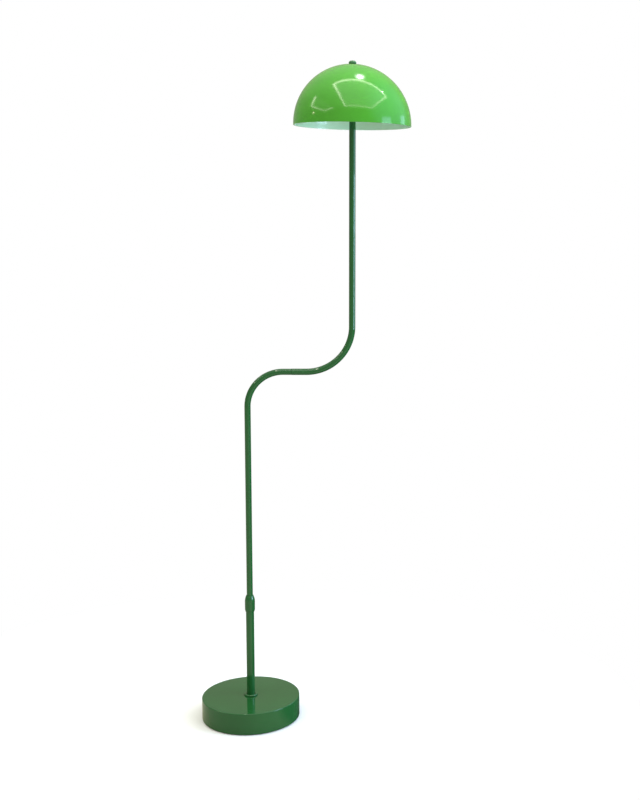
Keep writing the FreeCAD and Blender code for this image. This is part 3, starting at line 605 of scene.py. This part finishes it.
start, end = level_span("pivot_washer")
pivot_hole, radius, thickness, wave = 0.00405, 0.006, 0.0006, 0.0003
lower, upper = start + wave, start + wave + thickness
washer = lathe([(pivot_hole, lower), (radius, lower), (radius, upper), (pivot_hole, upper)], steps=96)
for corner in washer.verts:
    corner.co.z += wave * math.sin(3 * math.atan2(corner.co.y, corner.co.x))
washer.transform(lay_along_x)
fit("swivel_wave_washer", washer, "pivot_washer", spring_steel)

start, end = level_span("pivot_nut")
nut = hexagon_solid(radius, pivot_hole, start, end)
nut.transform(lay_along_x)
fit("swivel_hex_nut", nut, "pivot_nut", zinc_plate, crease=25)


# ---------------------------------------------------------------------------
# Upper arm
# A second bent tube, a shade thicker than the first: level from the swivel, a wide bend,
# then straight up into the shade.
# ---------------------------------------------------------------------------
low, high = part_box("upper_arm_tube")
radius, wall, bend = 0.00775, 0.0012, 0.110
lamp_x = high.x - radius
upper_route = walk((low.x, arm_height), level,
                   [lamp_x - bend - low.x, (bend, 90), high.z - arm_height - bend])
fit("upper_arm_bent_tube", sweep(upper_route, radius, radius - wall), "upper_arm_tube", green_enamel)


# ---------------------------------------------------------------------------
# Leads
# A round white lead runs from the terminal block up the hollow rod, round both bends of
# the arm and through the pivot to the lampholder. It lies loose in the tubes.
# ---------------------------------------------------------------------------
lead_sheath = finish("lead_sheath", (0.68, 0.68, 0.66), (0.76, 0.76, 0.74), 0.01, 0.5,
                     relief=0.00003, relief_grain=0.001, Specular_IOR_Level=0.4)
for node in ("base_lead", "lower_lead", "upper_lead"):
    dress(node, lead_sheath)


# ---------------------------------------------------------------------------
# Lampholder
# A moulded white lampholder on a threaded nipple: a ribbed cap, a skirt with a coarse
# outer thread, a glazed ceramic insert, and a rolled brass sleeve with the round thread.
# ---------------------------------------------------------------------------
nipple = threaded_rod("holder_nipple", rod_bore, rod_pitch)
fit("holder_threaded_nipple", nipple, "holder_nipple", zinc_plate)

white_moulding = finish("white_moulding", (0.80, 0.80, 0.77), (0.86, 0.86, 0.83), 0.006, 0.28,
                        relief=0.00002, relief_grain=0.0012, Coat_Weight=0.1)
axis, radius, bottom, top = axis_piece("lampholder_cap")
wall, floor = 0.002, bottom + 0.003


def grip(ribs, depth, lowest):
    """A lathe shape with rounded upright ribs on the outer side above a given radius."""
    def shape(radius, angle, height):
        return radius if radius < lowest else radius - depth * (0.5 - 0.5 * math.cos(ribs * angle)) ** 2
    return shape


cap = soften([(rod_hole, bottom), (radius, bottom, 0.004), (radius, top), (radius - wall, top),
              (radius - wall, floor, 0.002), (rod_hole, floor)])
fit("lampholder_ribbed_cap", lathe(cap, axis, steps=192, shape=grip(24, 0.0006, radius - 0.0003)),
    "lampholder_cap", white_moulding)

axis, radius, bottom, top = axis_piece("lampholder_shell")
pitch, depth, thread_top = 0.003, 0.0012, top - 0.004
skirt = [(radius - wall, bottom), (radius - depth / 2, bottom), (radius - depth / 2, bottom + pitch)]
skirt += threaded(radius, bottom + 2 * pitch, thread_top, pitch)
skirt += [(radius - depth, thread_top + 0.001), (radius - depth, top - 0.0006),
          (radius - depth * 1.5, top), (radius - wall, top)]
fit("lampholder_skirt", lathe(skirt, axis, steps=96, shape=thread(pitch, depth, radius)),
    "lampholder_shell", white_moulding)

glazed_ceramic = finish("glazed_ceramic", (0.80, 0.78, 0.72), (0.88, 0.86, 0.81), 0.008, 0.12,
                        relief=0.00003, relief_grain=0.002, Coat_Weight=0.5)
axis, radius, bottom, top = axis_piece("contact_insert")
step_radius, ledge = 0.016, top - 0.0002
disc = soften([(0, bottom), (radius, bottom, 0.0005), (radius, top - 0.001), (radius - 0.0015, ledge),
               (step_radius, ledge), (step_radius, top), (0, top)])
fit("ceramic_contact_disc", lathe(disc, axis), "contact_insert", glazed_ceramic)
dress("centre_contact", turned_brass)


def rolled(pitch, depth, lowest):
    """The round thread of lampholders and bulb caps, rolled into both sides of thin metal."""
    def shape(radius, angle, height):
        if radius < lowest:
            return radius
        return radius - depth * (0.5 - 0.5 * math.cos(2 * math.pi * height / pitch - angle))
    return shape


axis, radius, bottom, top = axis_piece("screw_sleeve")
wall, cap_pitch = 0.0005, 0.0036
outer = evenly((radius, bottom), (radius, top), 56)
inner = evenly((radius - wall, top), (radius - wall, bottom), 56)
fit("rolled_brass_sleeve", lathe(outer + inner, axis, steps=72, shape=rolled(cap_pitch, 0.0006, 0)),
    "screw_sleeve", turned_brass, crease=60)


# ---------------------------------------------------------------------------
# Bulb
# A 45 mm globe bulb with a 27 mm screw cap: rolled bright metal with a soldered tip on a
# black insulator, and a thin opal glass globe cemented into it.
# ---------------------------------------------------------------------------
bright_cap = finish("bright_cap", (0.60, 0.60, 0.61), (0.72, 0.72, 0.73), 0.003, 0.22,
                    relief=0.00001, relief_grain=0.0006, Metallic=1.0)
axis, radius, bottom, top = axis_piece("bulb_cap")
tip, shoulder = 0.0048, bottom + 0.0015
cap = soften([(0, bottom), (tip - 0.001, bottom, 0.0006), (tip, shoulder),
              (radius - 0.003, shoulder + 0.003, 0.001), (radius - 0.0005, shoulder + 0.005)])
cap += evenly((radius, shoulder + 0.0055), (radius, top - 0.003), 48) + [(radius, top), (0, top)]
fit("bulb_screw_cap", lathe(cap, axis, steps=72, shape=rolled(cap_pitch, 0.0009, radius - 0.0003)),
    "bulb_cap", bright_cap, crease=60)

opal_glass = finish("opal_glass", (0.86, 0.86, 0.84), (0.90, 0.90, 0.88), 0.02, 0.06,
                    Subsurface_Weight=0.3, Subsurface_Scale=0.004, Coat_Weight=0.3)
axis, radius, bottom, top = axis_piece("bulb_globe")
neck, wall = 0.0122, 0.001
centre = top - radius


def globe_side(radius, neck, centre):
    """From the neck up round the globe to its pole."""
    begin = -math.acos(neck / radius)
    angles = [begin + (math.pi / 2 - begin) * step / 48 for step in range(49)]
    return [(max(radius * math.cos(turn), 0), centre + radius * math.sin(turn)) for turn in angles]


globe = [(neck - wall, bottom), (neck, bottom)] + globe_side(radius, neck, centre)[:-1] + [(0, top)]
globe += [(0, top - wall)] + list(reversed(globe_side(radius - wall, neck - wall, centre)))[1:]
fit("opal_globe", lathe(globe, axis, steps=128), "bulb_globe", opal_glass, crease=50)


# ---------------------------------------------------------------------------
# Harp and saddle
# Nickel-plated wire bent round the bulb, its feet riveted in a flat strip that the
# lampholder clamps down, with a short threaded stud brazed on top for the shade.
# ---------------------------------------------------------------------------
nickel = finish("nickel_plate", (0.56, 0.55, 0.53), (0.66, 0.65, 0.62), 0.004, 0.18,
                relief=0.00001, relief_grain=0.0006, Metallic=1.0)
dress("harp_saddle", nickel)
low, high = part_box("harp")
wire, corner, rise_over_arm = 0.00175, 0.020, 0.1155
lamp_x = (low.x + high.x) / 2
foot_x = low.x + wire
crown_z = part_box("upper_arm_tube")[1].z + rise_over_arm
rise = crown_z - corner - low.z
harp_route = walk((foot_x, low.z), upright,
                  [rise, (corner, -90), 2 * (lamp_x - foot_x - corner), (corner, -90), rise])
harp = sweep(harp_route, wire, lip=0.0004, steps=32)
seat_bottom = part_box("shade_seat")[0].z
stud, stud_hole, stop_collar, pitch = 0.003, 0.00305, 0.005, 0.001
post = soften([(0, crown_z), (stop_collar, crown_z, 0.0003), (stop_collar, seat_bottom, 0.0003),
               (stud, seat_bottom)])
post += threaded(stud, seat_bottom + pitch, high.z - pitch, pitch) + [(stud - 0.0006, high.z), (0, high.z)]
merge(harp, lathe(post, (lamp_x, 0), steps=48, shape=thread(pitch, 0.0005, stud)))
fit("wire_harp", harp, "harp", nickel)

axis, radius, bottom, top = axis_piece("shade_seat")
edge = 0.0006
seat = soften([(stud_hole, bottom, edge / 2), (radius, bottom, edge), (radius, top, edge),
               (stud_hole, top, edge / 2)])
fit("shade_seat_washer", lathe(seat, axis), "shade_seat", nickel)


# ---------------------------------------------------------------------------
# Shade
# Half a sphere with a short upright skirt, blown from two-layer acrylic: green outside,
# white inside, the cut edge polished. It rests on the washer of the harp.
# ---------------------------------------------------------------------------
green_acrylic = finish("green_acrylic", (0.055, 0.318, 0.018), (0.064, 0.343, 0.022), 0.12, 0.12,
                       relief=0.000003, relief_grain=0.03, stretch=(1, 1, 4))
# The white lining's colour is tinted pale green and brightened: painted light, standing for daylight that
# shines through the green outer layer.
white_lining_painted_green_light = finish("white_lining_painted_green_light", (0.54, 0.79, 0.57), (0.58, 0.82, 0.62), 0.12, 0.22,
                       relief=0.00001, relief_grain=0.02, Coat_Weight=0.3, Coat_Roughness=0.03)


def dome(node, layer, skirt, hole, edge):
    """Axis and outline of one layer of the shade: down the inside, round the rim, up the outside."""
    axis, radius, bottom, top = axis_piece(node)
    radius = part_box(node)[1].y
    centre = bottom + skirt

    def side(reach, lowest):
        last = math.acos(hole / reach)
        turns = [last * step / 72 for step in range(73)]
        curve = [(reach * math.cos(turn), centre + reach * math.sin(turn)) for turn in turns]
        return [(reach, lowest)] + curve

    rim = soften([(radius, centre), (radius, bottom, edge), (radius - layer, bottom, edge),
                  (radius - layer, centre)], steps=6)
    outside = side(radius, bottom + edge)
    inside = side(radius - layer, bottom + edge)
    return axis, list(reversed(inside[1:])) + rim[::-1][1:-1] + outside[1:]


layer, skirt, hole, edge = 0.0015, 0.003, 0.0033, 0.0005
for name, node, acrylic in (("green_dome", "shade", green_acrylic),
                            ("white_dome_lining", "shade_lining", white_lining_painted_green_light)):
    axis, outline = dome(node, layer, skirt, hole, edge)
    fit(name, lathe(outline, axis, steps=256), node, acrylic)


# ---------------------------------------------------------------------------
# Knob
# A low turned nut on a rubber washer that holds the shade down on the harp's stud:
# knurled round its edge, rounded above, with a small nub in the centre.
# ---------------------------------------------------------------------------
axis, radius, bottom, top = axis_piece("knob_washer")
edge = 0.0004
washer = soften([(stud_hole, bottom), (radius, bottom, edge), (radius, top, edge), (stud_hole, top)])
fit("knob_rubber_washer", lathe(washer, axis), "knob_washer", black_rubber)

# A lighter copy of the green enamel on the tubes: painted sheen, standing for the light the knob's rounded
# top catches.
knob_enamel_painted_sheen = finish("knob_enamel_painted_sheen", (0.040, 0.160, 0.055), (0.050, 0.180, 0.065), 0.004, 0.30)
axis, radius, bottom, top = axis_piece("finial_knob")
crown, nub, roof = top - 0.0008, 0.0022, top - 0.002
knob = soften([(stud_hole, bottom), (radius, bottom, 0.0007), (radius, crown, 0.0052), (nub, crown, 0.0003),
               (nub - 0.0005, top, 0.0004), (0, top), (0, roof), (stud_hole, roof)], steps=8)
fit("knurled_knob", lathe(knob, axis, steps=216, shape=grip(36, 0.0005, radius - 0.0002)), "finial_knob",
    knob_enamel_painted_sheen)


# ---------------------------------------------------------------------------
# Room
# A pale seamless floor under a soft sky that is bright overhead, dim near the ground and
# bluish with daylight on the right; lit ceiling panels edged with strips, a round lamp and
# two small ones, windows on the right, and the camera. The backdrop itself stays white.
# ---------------------------------------------------------------------------
sky = bpy.data.worlds.new("soft_sky")
bpy.context.scene.world = sky
sky.use_nodes = True
nodes, links = sky.node_tree.nodes, sky.node_tree.links
direction = nodes.new("ShaderNodeTexCoord")
parts = nodes.new("ShaderNodeSeparateXYZ")
links.new(direction.outputs["Generated"], parts.inputs["Vector"])
climb = nodes.new("ShaderNodeValToRGB")
climb.color_ramp.elements[0].position = 0.0
climb.color_ramp.elements[0].color = (0.42, 0.42, 0.36, 1)
climb.color_ramp.elements[1].position = 1.0
climb.color_ramp.elements[1].color = (1.15, 1.15, 1.08, 1)
for place, colour in ((0.2, (0.43, 0.43, 0.35, 1)), (0.4, (0.56, 0.55, 0.43, 1)),
                      (0.7, (0.80, 0.80, 0.72, 1))):
    climb.color_ramp.elements.new(place).color = colour
links.new(parts.outputs["Z"], climb.inputs["Fac"])
rightward = nodes.new("ShaderNodeVectorMath")
rightward.operation = "DOT_PRODUCT"
rightward.inputs[1].default_value = (0.91, -0.08, 0.36)
links.new(direction.outputs["Generated"], rightward.inputs[0])
daylight = nodes.new("ShaderNodeMapRange")
daylight.interpolation_type = "SMOOTHSTEP"
daylight.inputs["From Min"].default_value = 0.55
daylight.inputs["From Max"].default_value = 0.95
links.new(rightward.outputs["Value"], daylight.inputs["Value"])
tinted = nodes.new("ShaderNodeMix")
tinted.data_type = "RGBA"
tinted.inputs["B"].default_value = (0.88, 1.10, 1.55, 1)
links.new(daylight.outputs["Result"], tinted.inputs["Factor"])
links.new(climb.outputs["Color"], tinted.inputs["A"])
seen = nodes.new("ShaderNodeLightPath")
backdrop = nodes.new("ShaderNodeMix")
backdrop.data_type = "RGBA"
backdrop.inputs["B"].default_value = (1, 1, 1, 1)
links.new(seen.outputs["Is Camera Ray"], backdrop.inputs["Factor"])
links.new(tinted.outputs["Result"], backdrop.inputs["A"])
links.new(backdrop.outputs["Result"], nodes["Background"].inputs["Color"])

floor_mesh = bmesh.new()
bmesh.ops.create_circle(floor_mesh, cap_ends=True, segments=128, radius=60)
floor_data = bpy.data.meshes.new("floor")
floor_mesh.to_mesh(floor_data)
floor_mesh.free()
floor = bpy.data.objects.new("floor", floor_data)
bpy.context.scene.collection.objects.link(floor)
floor_paint = bpy.data.materials.new("floor_paint")
floor_paint.use_nodes = True
nodes, links = floor_paint.node_tree.nodes, floor_paint.node_tree.links
nodes["Principled BSDF"].inputs["Base Color"].default_value = (0.96, 0.96, 0.97, 1)
nodes["Principled BSDF"].inputs["Roughness"].default_value = 0.8
nodes["Principled BSDF"].inputs["Specular IOR Level"].default_value = 0.0
glow = nodes.new("ShaderNodeEmission")
glow.inputs["Color"].default_value = (1, 1, 1, 1)
where = nodes.new("ShaderNodeTexCoord")
distance = nodes.new("ShaderNodeVectorMath")
distance.operation = "LENGTH"
links.new(where.outputs["Object"], distance.inputs[0])
far = nodes.new("ShaderNodeMapRange")
far.inputs["From Min"].default_value = 0.25
far.inputs["From Max"].default_value = 1.0
links.new(distance.outputs["Value"], far.inputs["Value"])
ground = nodes.new("ShaderNodeMixShader")
links.new(far.outputs["Result"], ground.inputs["Fac"])
links.new(nodes["Principled BSDF"].outputs["BSDF"], ground.inputs[1])
links.new(glow.outputs["Emission"], ground.inputs[2])
# Painted shade: in reflections the floor is pale towards the front left and turns nearly black towards the
# back right, standing for shade in that part of the room.
outward = nodes.new("ShaderNodeVectorMath")
outward.operation = "NORMALIZE"
links.new(where.outputs["Object"], outward.inputs[0])
across = nodes.new("ShaderNodeVectorMath")
across.operation = "DOT_PRODUCT"
across.inputs[1].default_value = (0.90, 0.43, 0)
links.new(outward.outputs["Vector"], across.inputs[0])
sideways = nodes.new("ShaderNodeMapRange")
sideways.inputs["From Min"].default_value = 0.40
sideways.inputs["From Max"].default_value = 0.70
links.new(across.outputs["Value"], sideways.inputs["Value"])
painted_floor_shade = nodes.new("ShaderNodeValToRGB")
painted_floor_shade.color_ramp.elements[0].color = (0.60, 0.58, 0.46, 1)
painted_floor_shade.color_ramp.elements[1].color = (0.08, 0.09, 0.08, 1)
links.new(sideways.outputs["Result"], painted_floor_shade.inputs["Fac"])
reflected_floor_with_painted_shade = nodes.new("ShaderNodeBsdfDiffuse")
links.new(painted_floor_shade.outputs["Color"], reflected_floor_with_painted_shade.inputs["Color"])
lift = nodes.new("ShaderNodeBsdfDiffuse")
lift.inputs["Color"].default_value = (0.60, 0.58, 0.56, 1)
seen = nodes.new("ShaderNodeLightPath")
direct = nodes.new("ShaderNodeMixShader")
links.new(seen.outputs["Is Camera Ray"], direct.inputs["Fac"])
links.new(lift.outputs["BSDF"], direct.inputs[1])
links.new(ground.outputs["Shader"], direct.inputs[2])
both = nodes.new("ShaderNodeMixShader")
links.new(seen.outputs["Is Glossy Ray"], both.inputs["Fac"])
links.new(direct.outputs["Shader"], both.inputs[1])
links.new(reflected_floor_with_painted_shade.outputs["BSDF"], both.inputs[2])
under = nodes.new("ShaderNodeNewGeometry")
clear = nodes.new("ShaderNodeBsdfTransparent")
sheet = nodes.new("ShaderNodeMixShader")
links.new(under.outputs["Backfacing"], sheet.inputs["Fac"])
links.new(both.outputs["Shader"], sheet.inputs[1])
links.new(clear.outputs["BSDF"], sheet.inputs[2])
links.new(sheet.outputs["Shader"], nodes["Material Output"].inputs["Surface"])
floor_data.materials.append(floor_paint)


def area_light(name, place, aim, size, power, colour=(1, 1, 1), shape="RECTANGLE", mirrored=True):
    """An area light at a place that faces a point; mirrored says whether glossy surfaces show it."""
    data = bpy.data.lights.new(name, "AREA")
    data.shape = shape
    data.size, data.size_y = size
    data.energy = power
    data.color = colour
    light = bpy.data.objects.new(name, data)
    light.location = place
    light.rotation_euler = (Vector(aim) - Vector(place)).to_track_quat("-Z", "Y").to_euler()
    light.visible_glossy = mirrored
    bpy.context.scene.collection.objects.link(light)
    return light


def ceiling_panel(name, low, high, sides, thickness, strip_power, panel_power):
    """A faintly lit rectangle in the ceiling, with bright strips along some of its four sides."""
    middle = (low + high) / 2
    size = high - low
    places = {"near": (middle.x, low.y, size.x, 0),
              "far": (middle.x, high.y, size.x, 0),
              "left": (low.x, middle.y, size.y, math.pi / 2),
              "right": (high.x, middle.y, size.y, math.pi / 2)}
    for side in sides:
        x, y, length, turn = places[side]
        strip = area_light(f"{name}_{side}", (x, y, ceiling), (x, y, 0), (length, thickness),
                           strip_power * length, (1.0, 0.97, 0.80))
        strip.rotation_euler = (0, 0, turn)
    panel = area_light(name, (middle.x, middle.y, ceiling + 0.01), (middle.x, middle.y, 0), size,
                       panel_power)
    panel.rotation_euler = (0, 0, 0)


ceiling = 2.9
ceiling_panel("front_panel", Vector((-0.45, -2.4)), Vector((2.0, -0.12)),
              ("near", "far", "left", "right"), thickness=0.10, strip_power=2.8, panel_power=14)
ceiling_panel("left_panel", Vector((-3.2, -2.25)), Vector((-1.7, 0.15)),
              ("near", "far", "left"), thickness=0.24, strip_power=4.5, panel_power=3)
for name, size, power in (("round_lamp", (0.20, 0.30), 4), ("round_lamp_glow", (0.34, 0.52), 1.6)):
    area_light(name, (0.48, 0.14, ceiling), (0.48, 0.14, 0), size, power, shape="ELLIPSE")
area_light("small_lamp", (1.57, -0.04, ceiling), (1.57, -0.04, 0), (0.09, 0.09), 1.6, shape="DISK")
warm = (1.0, 0.85, 0.6)
area_light("far_lamp", (-5.1, -0.7, ceiling), (0.25, 0, 1.5), (0.16, 0.16), 3.5, warm, shape="DISK")
day = (0.70, 1.0, 1.35)
area_light("window_low", (3.95, -1.53, 0.9), (0.25, 0, 0.9), (1.7, 1.1), 62, day)
area_light("window_high", (3.95, -1.53, 1.85), (0.25, 0, 1.5), (1.4, 0.8), 11, day)
area_light("side_window", (3.95, 1.53, 1.6), (0.25, 0, 1.4), (1.0, 1.4), 10, day)
area_light("right_box", (2.9, -0.6, 2.8), (0.1, 0, 1.1), (2.0, 2.0), 10, day, mirrored=False)

camera_data = bpy.data.cameras.new("camera")
camera_data.lens = 53.5
camera_data.sensor_width = 36
camera_data.shift_x = -0.1665
camera = bpy.data.objects.new("camera", camera_data)
eye = (0.1947, -2.8623, 1.2519)
turned_right, tipped_down, rolled_over = math.radians(6.05), math.radians(8.91), math.radians(0.85)
camera.matrix_world = (Matrix.Translation(eye)
                       @ Matrix.Rotation(-turned_right, 4, "Z")
                       @ Matrix.Rotation(math.pi / 2 - tipped_down, 4, "X")
                       @ Matrix.Rotation(rolled_over, 4, "Z"))
bpy.context.scene.collection.objects.link(camera)
bpy.context.scene.camera = camera
bpy.context.scene.view_settings.view_transform = "Standard"
